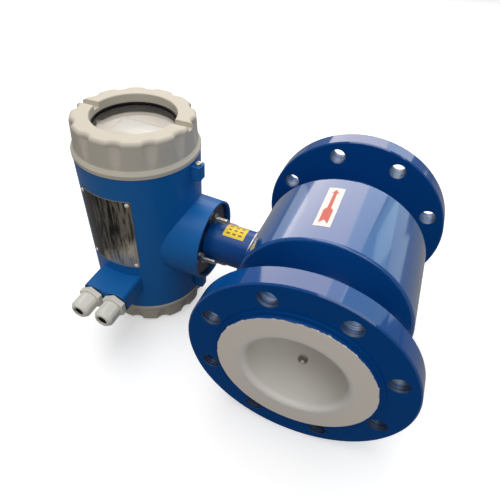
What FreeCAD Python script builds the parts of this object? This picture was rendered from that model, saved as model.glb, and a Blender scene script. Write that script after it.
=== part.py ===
import FreeCAD, Part

# Electromagnetic flow meter: a lined, flanged measuring tube inside a round coil housing, and a
# two-chamber converter on a short neck at its side.
#
# Frame, in millimetres: the origin is the centre of the inlet flange's bolt circle, on the face of
# its rim. +Y runs along the flow, from the inlet to the outlet. -X runs along the neck, from the
# tube to the converter. +Z is the way the converter's window faces.

import math
import os

V = FreeCAD.Vector

# ---------------------------------------------------------------- driving dimensions
# General clearances
SEAT_GAP = 0.1          # radial gap between pieces that are pushed together and fixed
RUN_GAP = 0.3           # gap between a piece that turns or slides and its neighbour
SCREW_GAP = 0.06        # radial gap of a screw that turns in its hole

# Flanges and measuring tube
FACE_TO_FACE = 258.0    # between the outer faces of the two flange rims
FLANGE_D = 215.0
FLANGE_T = 22.0
FLANGE_CHAMFER = 1.5
BOLT_CIRCLE_INSET = 17.5        # from the flange's rim to the bolt circle
BOLT_CIRCLE_D = FLANGE_D - 2 * BOLT_CIRCLE_INSET
BOLT_COUNT = 8
BOLT_HOLE_D = 18.0
BOLT_HOLE_DISH_H = 0.4          # the shallow dish around each bolt hole
BOLT_HOLE_DISH_W = 1.3
RAISED_FACE_INSET = 11.0        # from the bolt circle to the raised face
RAISED_FACE_D = BOLT_CIRCLE_D - 2 * RAISED_FACE_INSET
RAISED_FACE_H = 2.0
TUBE_D = 108.0
TUBE_WALL = 4.0
TUBE_EDGE_R = 3.0       # rounding of the tube's mouth under the liner
WELD_LEG = 5.0          # leg of the fillet weld behind each flange
LINER_T = 3.0
LINER_FLARE_INSET = 4.0         # from the raised face's rim to the liner's
LINER_FLARE_D = RAISED_FACE_D - 2 * LINER_FLARE_INSET

# Electrodes
ELECTRODE_HEAD_R = 5.2
ELECTRODE_HEAD_H = 2.6
ELECTRODE_STEM_R = 2.5
ELECTRODE_LENGTH = 24.0         # from under the head to the end of the stem
ELECTRODE_BOSS_R = 9.0
ELECTRODE_BOSS_H = 5.0
INSULATOR_WALL = 1.8
INSULATOR_FLANGE_T = 2.0
GROUND_ELECTRODE_Y = 47.5       # from the inlet flange's face
ELECTRODE_NUT_AF = 8.0
ELECTRODE_NUT_H = 4.0

# Coil housing and what it holds
HOUSING_D = 186.0
HOUSING_LENGTH = 107.0
HOUSING_WALL = 3.0
END_PLATE_T = 7.0
END_PLATE_SPIGOT = 1.0          # how far the plate reaches into the shell
HOUSING_EDGE_R = 3.0
COIL_GAP = 0.3                  # from the tube to the coil
COIL_T = 11.0                   # radial build of the winding
COIL_HALF_ANGLE = 52.0          # the saddle's reach either side of its middle, in degrees
COIL_HALF_LENGTH = 41.0
COIL_BAND = 13.0                # width of the wound band
COIL_CORNER_R = 6.0
POLE_SIDE_GAP = 1.5             # from the pole to the winding around it
RETURN_RING_T = 3.0
RETURN_RING_W = 64.0

# Neck
NECK_D = 47.0
NECK_WALL = 2.5
COLLAR_T = 1.3
COLLAR_H = 1.5
NECK_PLATE_T = 5.0
NECK_PLATE_SINK = 4.0           # from the boss's rim to the plate's face
NECK_GASKET_T = 1.5
STUD_CIRCLE_D = 66.0
STUD_COUNT = 4
STUD_R = 3.0
STUD_STANDOUT = 13.0            # beyond the nut
STUD_DEPTH = 8.0
NUT_AF = 10.0
NUT_H = 5.2
WASHER_R = 6.2
WASHER_T = 1.4

# Converter body
AXIS_X = -230.0                 # the converter's axis
BODY_D = 133.0
BODY_TOP_Z = 100.7
BODY_BOTTOM_Z = -86.6
BODY_R = BODY_D / 2
BODY_WALL = 5.2
CHAMBER_R = BODY_R - BODY_WALL
THREAD_INSET = 8.0
THREAD_R = BODY_R - THREAD_INSET        # outside of the covers' thread skirts
THREAD_LENGTH = 10.0
LAND_LENGTH = 15.0              # length of the body's threaded land
LAND_CHAMFER = 4.0
PARTITION_Z = -26.0             # middle of the wall between the two chambers
PARTITION_T = 5.0
BOSS_STANDOUT = 23.5
BOSS_REACH = BODY_R + BOSS_STANDOUT     # from the converter's axis to the boss's rim
BOSS_R = 46.7                   # at the rim
BOSS_ROOT_R = 47.5              # where it leaves the body
BOSS_RIM_T = 2.6
BOSS_FLOOR_T = 10.0
BOSS_BORE_R = 15.0
LUG_W = 13.0
LUG_STANDOUT = 9.8
LUG_REACH = BODY_R + LUG_STANDOUT       # from the converter's axis
LUG_TOP_GAP = 3.6               # from the body's end to the lug
LUG_H = 16.0
LUG_EDGE_R = 2.5
GLAND_BOX_W = 52.0
GLAND_BOX_H = 26.5
GLAND_BOX_Z = -44.5             # middle of the gland box
GLAND_STANDOUT = 31.5
GLAND_REACH = BODY_R + GLAND_STANDOUT   # from the converter's axis to the gland box's face
GLAND_BOX_EDGE_R = 5.0

# Covers
COVER_GAP = 0.5                 # the seal's visible gap between cover and body
LIP_STANDOUT = 0.7
LIP_R = BODY_R + LIP_STANDOUT
LIP_H = 4.2
LIP_SLOPE_H = 5.2               # height of the lip's sloped top, up to the grip
LIP_EDGE_R = 1.0
GRIP_FOOT_INSET = 2.2
GRIP_FOOT_R = BODY_R - GRIP_FOOT_INSET  # the lobes' outside at the lip
GRIP_INSET = 4.0
GRIP_R = BODY_R - GRIP_INSET            # the lobes' outside at the cover's face
GRIP_EDGE_R = 4.0
GRIP_COUNT = 12
GRIP_DEPTH = 3.2                # depth of the notches between the lobes
GRIP_NOTCH_R = 10.2
FRONT_COVER_H = 36.6            # lip to outer face
REAR_COVER_H = 31.0
REAR_COVER_WALL = 6.0
REAR_RECESS_INSET = 26.5
REAR_RECESS_R = BODY_R - REAR_RECESS_INSET
REAR_RECESS_H = 2.0
REAR_COVER_CLOCK = 5.0          # degrees that the rear lobes are turned
SKIRT_WALL = 5.0
SEAL_R = 1.4                    # radius of the round seal's section
THREAD_PITCH = 2.0              # every full turn lifts a cover by this much
SLOT_W = 9.0
SLOT_DEPTH = 5.6
SLOT_CLOCK = 2.7                # degrees that the slots are turned from the neck's line

# Window
WINDOW_INSET = 22.9
WINDOW_R = BODY_R - WINDOW_INSET
WINDOW_RIM_T = 9.4              # thickness of the cover around the window
GLASS_LAP = 5.4                 # how far the glass reaches under the cover
GLASS_R = WINDOW_R + GLASS_LAP
GLASS_T = 4.5
WINDOW_GASKET_T = 1.5
WINDOW_GASKET_LAP = 1.0         # how far the gasket shows inside the opening
RING_T = 6.5
RING_NOTCH_W = 4.0
RING_NOTCH_H = 1.5
RING_NOTCH_INSET = 7.0          # from the ring's outside

# Display and boards
PANEL_INSET = 2.5
PANEL_R = GLASS_R - PANEL_INSET
PANEL_T = 2.0
PANEL_GAP = 0.8                 # below the window's retaining ring
DISPLAY_DEPTH = 14.0
DISPLAY_WALL = 2.0
LCD_W = 52.0
LCD_H = 26.0
LCD_T = 5.0
LCD_Y = 6.0                     # the screen's middle, from the converter's axis
BOARD_GAP = 9.3                 # from the boards to the chamber's wall
BOARD_R = CHAMBER_R - BOARD_GAP
BOARD_T = 1.6
BOARD_FLAT = 6.0                # depth of the flat on the boards' neck side
SPACER_INSET = 7.0
SPACER_CIRCLE_R = BOARD_R - SPACER_INSET
TRAY_INSET = 8.0
TRAY_CIRCLE_R = SPACER_CIRCLE_R - TRAY_INSET
SPACER_R = 3.5
SPACER_HOLE_R = 1.6
BOARD_PITCH = 32.0              # from one board to the next
FIRST_BOARD_GAP = 34.0          # from the partition to the first board
BRACKET_T = 3.0                 # of the tray brackets' feet
CHIP_W = 20.0
CHIP_H = 3.0
PLUG_W = 30.0
PLUG_DEPTH = 8.0
PLUG_H = 9.0
PLUG_INSET = 16.0               # from the board's rim to the plug
CAP_R = 4.0
CAP_H = 12.0
CAP_PITCH = 16.0
CAP_INSET = 24.0                # from the board's rim to the capacitors' centres
MODULE_W = 48.0
MODULE_DEPTH = 28.0
MODULE_H = 16.0
TERMINAL_GAP = 7.0              # from the partition to the terminal board
TERMINAL_LEG_INSET = 8.0        # from the board's rim to its legs' centres
TERMINAL_PITCH = 7.5
TERMINAL_COUNT = 8
TERMINAL_H = 12.0
TERMINAL_DEPTH = 11.0
TERMINAL_ROW_PITCH = 28.0
TERMINAL_ROW_SHIFT = 6.0        # the rows' middle, away from the glands
GROMMET_R = 7.0
GROMMET_BORE_R = 2.5
GROMMET_LIP = 2.0
GROMMET_INSET = 26.3            # from the chamber's wall to the grommet's centre

# Lock screws
LOCK_SCREW_R = 2.0
LOCK_HEAD_R = 3.6
LOCK_HEAD_H = 2.6
LOCK_SCREW_LENGTH = 11.0

# Cable glands
GLAND_SPACING = 30.0
GLAND_THREAD_R = 9.9
GLAND_THREAD_LENGTH = 12.0
GLAND_WASHER_T = 1.5
GLAND_WASHER_R = 13.2
GLAND_HEX_AF = 25.0
GLAND_HEX_H = 6.0
GLAND_COLLAR_R = 9.5
GLAND_COLLAR_LENGTH = 8.0
GLAND_NUT_R = 11.4
GLAND_NUT_LENGTH = 20.0
GLAND_NUT_AF = 21.6
GLAND_NUT_NOSE_R = 8.4
GLAND_NUT_NOSE_T = 1.6
GLAND_NUT_ROUND_H = 4.0         # length of the rounded nose
GLAND_NUT_HOLE_R = 5.8
GLAND_SEAL_R = 7.8
GLAND_SEAL_BORE_R = 4.6
GLAND_SEAL_LENGTH = 9.0

# Nameplate
PLATE_T = 0.8
PLATE_BOTTOM_Z = -17.0
PLATE_TOP_Z = 75.5
PLATE_FROM_DEG = -31.5          # from the side that faces the inlet, positive towards the neck
PLATE_TO_DEG = 23.5
PLATE_CORNER_R = 2.0
RIVET_INSET = 4.0
RIVET_HEAD_R = 2.3
RIVET_R = 1.2
RIVET_DEPTH = 3.0

# ---------------------------------------------------------------- derived places
MID_Y = FACE_TO_FACE / 2                    # the tube's middle, and the converter's axis
TUBE_R = TUBE_D / 2
TUBE_BORE_R = TUBE_R - TUBE_WALL
LINER_BORE_R = TUBE_BORE_R - LINER_T
LAND_R = THREAD_R + RUN_GAP
HOUSING_R = HOUSING_D / 2
NECK_R = NECK_D / 2
BOSS_RIM_X = AXIS_X + BOSS_REACH
NECK_PLATE_X = BOSS_RIM_X - NECK_PLATE_SINK             # outer face of the plate
NECK_GASKET_X = NECK_PLATE_X - NECK_PLATE_T             # outer face of the gasket
BOSS_FLOOR_X = NECK_GASKET_X - NECK_GASKET_T            # floor of the boss's recess
BOSS_RECESS_R = BOSS_R - BOSS_RIM_T
NECK_PLATE_R = BOSS_RECESS_R - 5 * SEAT_GAP
FRONT_LIP_Z = BODY_TOP_Z + COVER_GAP
REAR_LIP_Z = BODY_BOTTOM_Z - COVER_GAP
FRONT_FACE_Z = FRONT_LIP_Z + FRONT_COVER_H
WINDOW_LEDGE_Z = FRONT_FACE_Z - WINDOW_RIM_T
GLASS_TOP_Z = WINDOW_LEDGE_Z - WINDOW_GASKET_T
RING_TOP_Z = GLASS_TOP_Z - GLASS_T
PANEL_TOP_Z = RING_TOP_Z - RING_T - PANEL_GAP
DISPLAY_TOP_Z = PANEL_TOP_Z - PANEL_T
DISPLAY_BOTTOM_Z = DISPLAY_TOP_Z - DISPLAY_DEPTH
PARTITION_TOP_Z = PARTITION_Z + PARTITION_T / 2
PARTITION_UNDER_Z = PARTITION_Z - PARTITION_T / 2
MAIN_BOARD_Z = PARTITION_TOP_Z + FIRST_BOARD_GAP
POWER_BOARD_Z = MAIN_BOARD_Z + BOARD_PITCH
TERMINAL_BOARD_Z = PARTITION_UNDER_Z - TERMINAL_GAP - BOARD_T
GLAND_FACE_Y = MID_Y - GLAND_REACH
GLAND_SEAL_FRONT = GLAND_WASHER_T + GLAND_HEX_H + GLAND_NUT_LENGTH - GLAND_NUT_NOSE_T
HOUSING_START_Y = MID_Y - HOUSING_LENGTH / 2
LOCK_SCREW_X = AXIS_X + (BODY_R + LUG_REACH) / 2
SEAL_TRACK_R = THREAD_R - 0.1 * SEAL_R
SEAL_GROOVE = 2 * SEAL_R + 2 * RUN_GAP

ALONG_X, ALONG_Y, ALONG_Z = V(1, 0, 0), V(0, 1, 0), V(0, 0, 1)
CONVERTER = V(AXIS_X, MID_Y, 0)
GROMMET_PLACE = CONVERTER + V(GROMMET_INSET - CHAMBER_R, 0, PARTITION_Z)


# ---------------------------------------------------------------- small builders
def outline(corners):
    """A closed wire in the XY plane through (x, y) corners; a third number rounds the corner."""
    points = [V(c[0], c[1], 0) for c in corners]
    radii = [c[2] if len(c) > 2 else 0.0 for c in corners]
    starts, ends, arcs = [], [], []
    for i, point in enumerate(points):
        if not radii[i]:
            starts.append(point)
            ends.append(point)
            arcs.append(None)
            continue
        back = (points[i - 1] - point).normalize()
        ahead = (points[(i + 1) % len(points)] - point).normalize()
        half = back.getAngle(ahead) / 2
        middle = (back + ahead).normalize()
        reach = radii[i] / math.tan(half)
        starts.append(point + back * reach)
        ends.append(point + ahead * reach)
        arcs.append(point + middle * (radii[i] / math.sin(half) - radii[i]))
    edges = []
    for i in range(len(points)):
        if arcs[i]:
            edges.append(Part.Arc(starts[i], arcs[i], ends[i]).toShape())
        following = starts[(i + 1) % len(points)]
        if (following - ends[i]).Length > 1e-6:
            edges.append(Part.makeLine(ends[i], following))
    return Part.Wire(edges)


def aimed(shape, base, axis):
    """The shape, built about local +Z at the origin, moved to base and turned to point along axis."""
    turn = FreeCAD.Rotation(ALONG_Z, axis)
    shape.Placement = FreeCAD.Placement(base, turn).multiply(shape.Placement)
    return shape


def turned(corners, base=V(), axis=ALONG_Z):
    """A solid of revolution: corners are (radius, height) with an optional rounding."""
    face = Part.Face(outline(corners))
    solid = face.revolve(V(), ALONG_Y, 360)
    solid.rotate(V(), ALONG_X, 90)
    return aimed(solid, base, axis)


def rod(radius, length, base, axis=ALONG_Z):
    return Part.makeCylinder(radius, length, base, axis)


def ring(inner, outer, length, base, axis=ALONG_Z):
    return rod(outer, length, base, axis).cut(rod(inner, length, base, axis))


def block(x0, x1, y0, y1, z0, z1):
    return Part.makeBox(x1 - x0, y1 - y0, z1 - z0, V(x0, y0, z0))


def hexagon(across_flats, height, base, axis):
    radius = across_flats / math.sqrt(3)
    corners = [(radius * math.cos(math.radians(60 * i + 30)), radius * math.sin(math.radians(60 * i + 30)))
               for i in range(6)]
    return aimed(Part.Face(outline(corners)).extrude(V(0, 0, height)), base, axis)


def around(count, radius, start=0.0):
    """Points of a circle about local Z, in the XY plane, the first at the start angle in degrees."""
    angles = [math.radians(start + 360.0 * i / count) for i in range(count)]
    return [V(radius * math.cos(a), radius * math.sin(a), 0) for a in angles]


def about_converter(point, z=0.0):
    return CONVERTER + V(point.x, point.y, z)


def fuse(first, *others):
    return first.multiFuse(list(others)).removeSplitter()


def save(name, *solids):
    """Write one node; a node of several loose pieces is a compound of solids."""
    parts = [solid for shape in solids for solid in shape.Solids]
    shape = parts[0] if len(parts) == 1 else Part.makeCompound(parts)
    shape.exportStep("parts/" + name + ".step")


# ---------------------------------------------------------------- flow tube
def bolt_holes(face_y):
    step = 360.0 / BOLT_COUNT
    holes = []
    for p in around(BOLT_COUNT, BOLT_CIRCLE_D / 2, step / 2):
        profile = [
            (0, 0), (BOLT_HOLE_D / 2 + BOLT_HOLE_DISH_W, 0),
            (BOLT_HOLE_D / 2, BOLT_HOLE_DISH_H), (BOLT_HOLE_D / 2, FLANGE_T - BOLT_HOLE_DISH_H),
            (BOLT_HOLE_D / 2 + BOLT_HOLE_DISH_W, FLANGE_T), (0, FLANGE_T)]
        holes.append(turned(profile, V(p.x, face_y, p.y), ALONG_Y))
    return holes


def flange(face_y, inward):
    """A welded plate flange with a raised face; inward is +1 for the inlet and -1 for the outlet."""
    bore = TUBE_R + SEAT_GAP
    profile = [
        (bore, -RAISED_FACE_H), (RAISED_FACE_D / 2, -RAISED_FACE_H), (RAISED_FACE_D / 2, 0),
        (FLANGE_D / 2 - FLANGE_CHAMFER, 0), (FLANGE_D / 2, FLANGE_CHAMFER),
        (FLANGE_D / 2, FLANGE_T - FLANGE_CHAMFER), (FLANGE_D / 2 - FLANGE_CHAMFER, FLANGE_T),
        (bore + WELD_LEG, FLANGE_T), (bore, FLANGE_T + WELD_LEG)]
    solid = turned(profile, V(0, face_y, 0), ALONG_Y * inward)
    low = face_y if inward > 0 else face_y - FLANGE_T
    return solid.cut(Part.makeCompound(bolt_holes(low)))


def tube_end(sign):
    """Where the tube's end lies, flush with the raised face: sign is -1 at the inlet."""
    return -RAISED_FACE_H if sign < 0 else FACE_TO_FACE + RAISED_FACE_H


def electrode_seats():
    """Each electrode's place on the tube's axis and the way it points."""
    return [(MID_Y, ALONG_Z), (MID_Y, -ALONG_Z), (GROUND_ELECTRODE_Y, -ALONG_Z)]


def measuring_tube():
    length = tube_end(1) - tube_end(-1)
    profile = [
        (TUBE_BORE_R, 0, TUBE_EDGE_R), (TUBE_R, 0), (TUBE_R, length), (TUBE_BORE_R, length, TUBE_EDGE_R)]
    tube = turned(profile, V(0, tube_end(-1), 0), ALONG_Y)
    seats, holes = [], []
    for y, way in electrode_seats():
        seats.append(rod(ELECTRODE_BOSS_R, ELECTRODE_BOSS_H + TUBE_WALL / 2,
                         V(0, y, 0) + way * (TUBE_R - TUBE_WALL / 2), way))
        holes.append(rod(ELECTRODE_STEM_R + INSULATOR_WALL + SEAT_GAP, TUBE_R,
                         V(0, y, 0) + way * LINER_BORE_R, way))
    return fuse(tube, *seats).cut(Part.makeCompound(holes))


def tube_liner():
    """A sleeve that turns outwards over both raised faces, with evenly thick rounded mouths."""
    inlet, outlet = tube_end(-1) - LINER_T, tube_end(1) + LINER_T
    flare = LINER_FLARE_D / 2
    outer_r, inner_r = TUBE_EDGE_R + SEAT_GAP, TUBE_EDGE_R + LINER_T
    sleeve_r = TUBE_BORE_R - SEAT_GAP
    profile = [
        (LINER_BORE_R, inlet, inner_r), (flare, inlet, LINER_T / 3), (flare, inlet + LINER_T),
        (sleeve_r, inlet + LINER_T, outer_r), (sleeve_r, outlet - LINER_T, outer_r),
        (flare, outlet - LINER_T), (flare, outlet, LINER_T / 3), (LINER_BORE_R, outlet, inner_r)]
    liner = turned(profile, V(), ALONG_Y)
    holes = [rod(ELECTRODE_STEM_R + SEAT_GAP, TUBE_R, V(0, y, 0), way) for y, way in electrode_seats()]
    return liner.cut(Part.makeCompound(holes))


def electrode(y, way):
    """A domed head that seats on the liner's bore, and a stem out through the tube's wall."""
    seat = math.sqrt(LINER_BORE_R ** 2 - ELECTRODE_HEAD_R ** 2)
    profile = [
        (0, -ELECTRODE_HEAD_H), (ELECTRODE_HEAD_R * 0.45, -ELECTRODE_HEAD_H, 1.2),
        (ELECTRODE_HEAD_R, -ELECTRODE_HEAD_H * 0.35), (ELECTRODE_HEAD_R, 0),
        (ELECTRODE_STEM_R, 0), (ELECTRODE_STEM_R, ELECTRODE_LENGTH), (0, ELECTRODE_LENGTH)]
    return turned(profile, V(0, y, 0) + way * (seat - SEAT_GAP), way)


def electrode_insulator(y, way):
    """A shouldered sleeve that keeps the stem and its nut off the tube's boss."""
    top = TUBE_R + ELECTRODE_BOSS_H
    bore = ELECTRODE_STEM_R + SEAT_GAP
    sleeve = ELECTRODE_STEM_R + INSULATOR_WALL
    profile = [
        (bore, 0), (sleeve, 0), (sleeve, top - TUBE_BORE_R), (ELECTRODE_BOSS_R - 1, top - TUBE_BORE_R),
        (ELECTRODE_BOSS_R - 1, top - TUBE_BORE_R + INSULATOR_FLANGE_T),
        (bore, top - TUBE_BORE_R + INSULATOR_FLANGE_T)]
    return turned(profile, V(0, y, 0) + way * TUBE_BORE_R, way)


def electrode_nut(y, way):
    base = V(0, y, 0) + way * (TUBE_R + ELECTRODE_BOSS_H + INSULATOR_FLANGE_T)
    nut = hexagon(ELECTRODE_NUT_AF, ELECTRODE_NUT_H, base, way)
    return nut.cut(rod(ELECTRODE_STEM_R + SEAT_GAP, ELECTRODE_NUT_H, base, way))


# ---------------------------------------------------------------- coil housing
def end_plate(outer_y, inward):
    """A flat ring with a rounded rim, welded between the tube and the shell."""
    bore = TUBE_R + SEAT_GAP
    step = HOUSING_R - HOUSING_WALL - SEAT_GAP
    shoulder = END_PLATE_T - END_PLATE_SPIGOT
    profile = [
        (bore, 0), (HOUSING_R, 0, HOUSING_EDGE_R), (HOUSING_R, shoulder), (step, shoulder),
        (step, END_PLATE_T), (bore, END_PLATE_T)]
    return turned(profile, V(0, outer_y, 0), ALONG_Y * inward)


def housing_shell():
    start = HOUSING_START_Y + END_PLATE_T - END_PLATE_SPIGOT
    length = HOUSING_LENGTH - 2 * (END_PLATE_T - END_PLATE_SPIGOT)
    shell = ring(HOUSING_R - HOUSING_WALL, HOUSING_R, length, V(0, start, 0), ALONG_Y)
    return shell.cut(rod(NECK_R + SEAT_GAP, HOUSING_R * 2, V(0, MID_Y, 0), -ALONG_X))


def sector(inner, outer, half_angle, half_length, side):
    """A piece of a thick tube about Y, centred on the +X side (side 1) or the -X side (side -1)."""
    whole = ring(inner, outer, 2 * half_length, V(0, MID_Y - half_length, 0), ALONG_Y)
    reach = 2 * outer
    dx, dz = reach * math.cos(math.radians(half_angle)), reach * math.sin(math.radians(half_angle))
    wedge = Part.Face(Part.makePolygon([V(), V(side * dx, 0, dz), V(side * dx, 0, -dz), V()]))
    if half_angle >= 45:
        far = side * reach * 2
        wedge = Part.Face(Part.makePolygon(
            [V(), V(side * dx, 0, dz), V(far, 0, dz), V(far, 0, -dz), V(side * dx, 0, -dz), V()]))
    wedge.translate(V(0, MID_Y - half_length, 0))
    return whole.common(wedge.extrude(V(0, 2 * half_length, 0)))


def coil(side):
    """A saddle coil: a wound band bent round the tube, open in the middle for its pole."""
    inner = TUBE_R + COIL_GAP
    outer = inner + COIL_T
    band_angle = math.degrees(COIL_BAND / outer)
    full = sector(inner, outer, COIL_HALF_ANGLE, COIL_HALF_LENGTH, side)
    corners = [e for e in full.Edges
               if abs(abs(e.CenterOfMass.y - MID_Y) - COIL_HALF_LENGTH) < 1e-3 and abs(e.Length - COIL_T) < 0.2]
    full = full.makeFillet(COIL_CORNER_R, corners)
    window = sector(inner - 1, outer + 1, COIL_HALF_ANGLE - band_angle, COIL_HALF_LENGTH - COIL_BAND, side)
    return full.cut(window)


def pole(side):
    """The iron pole inside a coil's window, from the tube out to the return ring."""
    coil_outer = TUBE_R + COIL_GAP + COIL_T
    band_angle = math.degrees(COIL_BAND / coil_outer)
    gap_angle = math.degrees(POLE_SIDE_GAP / TUBE_R)
    return sector(TUBE_R + SEAT_GAP, coil_outer + POLE_SIDE_GAP - SEAT_GAP,
                  COIL_HALF_ANGLE - band_angle - gap_angle,
                  COIL_HALF_LENGTH - COIL_BAND - POLE_SIDE_GAP, side)


def return_ring():
    inner = TUBE_R + COIL_GAP + COIL_T + POLE_SIDE_GAP
    band = ring(inner, inner + RETURN_RING_T, RETURN_RING_W, V(0, MID_Y - RETURN_RING_W / 2, 0), ALONG_Y)
    clear = rod(ELECTRODE_BOSS_R, 4 * HOUSING_R, V(0, MID_Y, -2 * HOUSING_R), ALONG_Z)
    return band.cut(clear)


# ---------------------------------------------------------------- neck
def stud_places():
    """Stud centres as offsets in Y and Z from the neck's axis."""
    return [V(0, p.y, p.x) for p in around(STUD_COUNT, STUD_CIRCLE_D / 2)]


def neck_tube():
    inside_x = -math.sqrt((HOUSING_R - HOUSING_WALL) ** 2 - NECK_R ** 2) + 1.0
    length = inside_x - NECK_PLATE_X
    return ring(NECK_R - NECK_WALL, NECK_R, length, V(NECK_PLATE_X, MID_Y, 0), ALONG_X)


def neck_plate():
    base = V(NECK_GASKET_X, MID_Y, 0)
    plate = ring(NECK_R - NECK_WALL, NECK_PLATE_R, NECK_PLATE_T, base, ALONG_X)
    holes = [rod(STUD_R + 4 * SEAT_GAP, NECK_PLATE_T, base + p, ALONG_X) for p in stud_places()]
    return plate.cut(Part.makeCompound(holes))


def neck_gasket():
    base = V(BOSS_FLOOR_X, MID_Y, 0)
    gasket = ring(BOSS_BORE_R, NECK_PLATE_R, NECK_GASKET_T, base, ALONG_X)
    holes = [rod(STUD_R + 4 * SEAT_GAP, NECK_GASKET_T, base + p, ALONG_X) for p in stud_places()]
    return gasket.cut(Part.makeCompound(holes))


def neck_collar():
    """The bare ring at the foot of the neck, scribed to the round housing."""
    start = V(-HOUSING_R - COLLAR_H, MID_Y, 0)
    collar = ring(NECK_R + SEAT_GAP, NECK_R + SEAT_GAP + COLLAR_T, HOUSING_R, start, ALONG_X)
    shifted = rod(HOUSING_R + COLLAR_H, 4 * NECK_R, V(0, MID_Y - 2 * NECK_R, 0), ALONG_Y)
    housing = rod(HOUSING_R + SEAT_GAP / 2, 4 * NECK_R, V(0, MID_Y - 2 * NECK_R, 0), ALONG_Y)
    return collar.common(shifted).cut(housing)


def neck_stud(p):
    start = BOSS_FLOOR_X - STUD_DEPTH
    end = NECK_PLATE_X + WASHER_T + NUT_H + STUD_STANDOUT
    profile = [(0, 0), (STUD_R, 0), (STUD_R, end - start - 1), (STUD_R - 1, end - start), (0, end - start)]
    return turned(profile, V(start, MID_Y, 0) + p, ALONG_X)


def neck_washer(p):
    return ring(STUD_R + 2 * SEAT_GAP, WASHER_R, WASHER_T, V(NECK_PLATE_X, MID_Y, 0) + p, ALONG_X)


def neck_nut(p):
    base = V(NECK_PLATE_X + WASHER_T, MID_Y, 0) + p
    nut = hexagon(NUT_AF, NUT_H, base, ALONG_X)
    chamfer = turned([(0, 0), (NUT_AF / 2 + 0.3, 0), (NUT_AF / 2 + 0.8, 0.8), (NUT_AF / 2 + 0.8, NUT_H - 0.8),
                      (NUT_AF / 2 + 0.1, NUT_H), (0, NUT_H)], base, ALONG_X)
    return nut.common(chamfer).cut(rod(STUD_R + SEAT_GAP, NUT_H, base, ALONG_X))


# ---------------------------------------------------------------- converter body
def lock_lug(end_z, way):
    """A small lug beside the neck, under one of the covers; way is +1 at the front, -1 at the rear."""
    near = end_z - way * LUG_TOP_GAP
    low, high = sorted((near, near - way * LUG_H))
    inner = AXIS_X + CHAMBER_R + BODY_WALL / 2
    lug = block(inner, AXIS_X + LUG_REACH, MID_Y - LUG_W / 2, MID_Y + LUG_W / 2, low, high)
    edges = [e for e in lug.Edges
             if abs(e.CenterOfMass.x - AXIS_X - LUG_REACH) < 1e-3 and abs(e.Length - LUG_H) < 1e-3]
    return lug.makeFillet(LUG_EDGE_R, edges)


def gland_box():
    box = block(AXIS_X - GLAND_BOX_W / 2, AXIS_X + GLAND_BOX_W / 2, GLAND_FACE_Y, MID_Y - CHAMBER_R / 2,
                GLAND_BOX_Z - GLAND_BOX_H / 2, GLAND_BOX_Z + GLAND_BOX_H / 2)
    length = MID_Y - CHAMBER_R / 2 - GLAND_FACE_Y
    edges = [e for e in box.Edges if abs(e.Length - length) < 1e-3]
    box = box.makeFillet(GLAND_BOX_EDGE_R, edges)
    rim = [e for e in box.Edges if abs(e.CenterOfMass.y - GLAND_FACE_Y) < 1e-3]
    return box.makeFillet(1.0, rim)


def gland_places():
    return [V(AXIS_X + side * GLAND_SPACING / 2, GLAND_FACE_Y, GLAND_BOX_Z) for side in (-1, 1)]


def chamber_profile():
    """Half section of both chambers' hollow, joined by nothing: (front corners, rear corners)."""
    rim_r = SEAL_TRACK_R + SEAL_R + RUN_GAP
    rim_h = SEAL_GROOVE
    sections = []
    for end, way, floor in ((BODY_TOP_Z, 1, PARTITION_TOP_Z), (BODY_BOTTOM_Z, -1, PARTITION_UNDER_Z)):
        land = end - way * LAND_LENGTH
        sections.append([
            (0, floor), (CHAMBER_R, floor, 3.0), (CHAMBER_R, land - way * LAND_CHAMFER), (LAND_R, land),
            (LAND_R, end - way * rim_h), (rim_r, end - way * rim_h), (rim_r, end), (0, end)])
    return sections


def spacer_places():
    return around(3, SPACER_CIRCLE_R, 90)


def rivet_places():
    """(degrees, z) of the nameplate's four rivets."""
    inset_deg = math.degrees(RIVET_INSET / BODY_R)
    return [(a, z) for a in (PLATE_FROM_DEG + inset_deg, PLATE_TO_DEG - inset_deg)
            for z in (PLATE_BOTTOM_Z + RIVET_INSET, PLATE_TOP_Z - RIVET_INSET)]


def outwards(degrees):
    """The unit direction from the converter's axis, in degrees from the inlet side to the neck."""
    a = math.radians(degrees)
    return V(math.sin(a), -math.cos(a), 0)


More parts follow.
